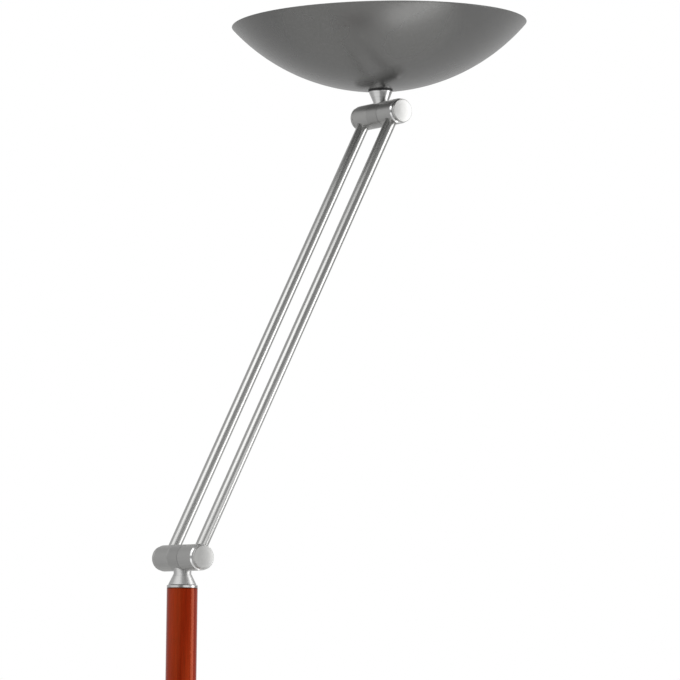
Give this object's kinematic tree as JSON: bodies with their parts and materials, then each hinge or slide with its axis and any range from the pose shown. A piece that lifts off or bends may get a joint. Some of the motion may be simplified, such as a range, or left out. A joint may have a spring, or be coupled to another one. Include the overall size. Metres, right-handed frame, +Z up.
{
  "type": "torchiere floor lamp",
  "caption": "Uplighter floor lamp: wooden column on a round weighted base, swivelling and tilting twin-rod arm between barrel knuckles, and a wide shallow bowl that tilts.",
  "frame": {"origin": "centre of the round base, on the floor", "axes": "+Z up along the column, +X the way the arm leans at rest, knuckle axes along Y"},
  "size_m": [0.5884, 0.352, 1.8528],
  "materials": {
    "lacquered_wood": "red-brown gloss lacquer over straight grain",
    "satin_aluminium": "satin anodised, turned",
    "polished_aluminium": "polished",
    "bowl_lacquer": "spun sheet, semi-gloss metallic grey lacquer",
    "base_lacquer": "semi-gloss metallic grey lacquer",
    "iron": "black painted casting",
    "felt": "dark felt",
    "steel": "zinc plated",
    "black_plastic": "matt black",
    "fibre": "dark fibre washer",
    "ceramic": "unglazed ceramic",
    "quartz": "clear quartz",
    "glass": "clear toughened sheet",
    "reflector": "bright anodised"
  },
  "bodies": {
    "stand": {"base_cover": "base_lacquer", "base_weight": "iron", "base_felt": "felt", "cord_gland": "black_plastic", "cord_gland_nut": "black_plastic", "dimmer_module": "black_plastic", "dimmer_panel_nut": "steel", "column_foot": "polished_aluminium", "column_lower": "lacquered_wood", "column_upper": "lacquered_wood", "column_joint": "polished_aluminium", "lower_tie_tube": "steel", "upper_tie_tube": "steel", "foot_washer": "steel", "foot_nut": "steel", "swivel_housing": "polished_aluminium", "swivel_plug": "steel"},
    "knob": {"dimmer_shaft": "steel", "dimmer_knob": "black_plastic", "dimmer_knob_cap": "satin_aluminium"},
    "swivel": {"swivel_washer": "fibre", "swivel_nipple": "steel", "swivel_nut": "steel", "swivel_spring": "steel", "swivel_stop_pin": "steel", "lower_cone": "polished_aluminium", "lower_hub": "satin_aluminium", "lower_stop_pins": "steel"},
    "arm": {"lower_cheek_left": "satin_aluminium", "lower_cheek_right": "satin_aluminium", "upper_cheek_left": "satin_aluminium", "upper_cheek_right": "satin_aluminium", "lower_end_plug_left": "satin_aluminium", "lower_end_plug_right": "satin_aluminium", "upper_end_plug_left": "satin_aluminium", "upper_end_plug_right": "satin_aluminium", "rod_left": "satin_aluminium", "rod_right": "satin_aluminium", "axle_bolts": "steel", "axle_nuts": "steel", "axle_springs": "steel", "friction_washers": "fibre"},
    "head": {"upper_hub": "satin_aluminium", "upper_stop_pins": "steel", "upper_cone": "polished_aluminium", "bowl_washer": "black_plastic", "bowl": "bowl_lacquer", "head_nipple": "steel", "lamp_bracket": "steel", "head_lock_washer": "steel", "head_nut": "steel", "reflector": "reflector", "reflector_rivets": "reflector", "lamp_holders": "ceramic", "holder_screws": "steel", "halogen_tube": "quartz", "lamp_caps": "ceramic", "safety_glass": "glass", "glass_clips": "steel"}
  },
  "joints": [
    {"name": "arm_swivel", "type": "hinge", "parent": "stand", "child": "swivel", "pos_m": [0, 0, 1.173], "axis": [0, 0, 1], "range_deg": [-165, 165]},
    {"name": "arm_tilt", "type": "hinge", "parent": "swivel", "child": "arm", "pos_m": [0, 0, 1.204], "axis": [0, 1, 0], "range_deg": [-112, 58]},
    {"name": "head_tilt", "type": "hinge", "parent": "arm", "child": "head", "pos_m": [0.27239, 0, 1.7386], "axis": [0, 1, 0], "range_deg": [-55.9, 114.1]},
    {"name": "dimmer_turn", "type": "hinge", "parent": "stand", "child": "knob", "pos_m": [0, -0.088, 0.023], "axis": [0, -0.0576, 0.9983], "range_deg": [-290, 0]}
  ]
}
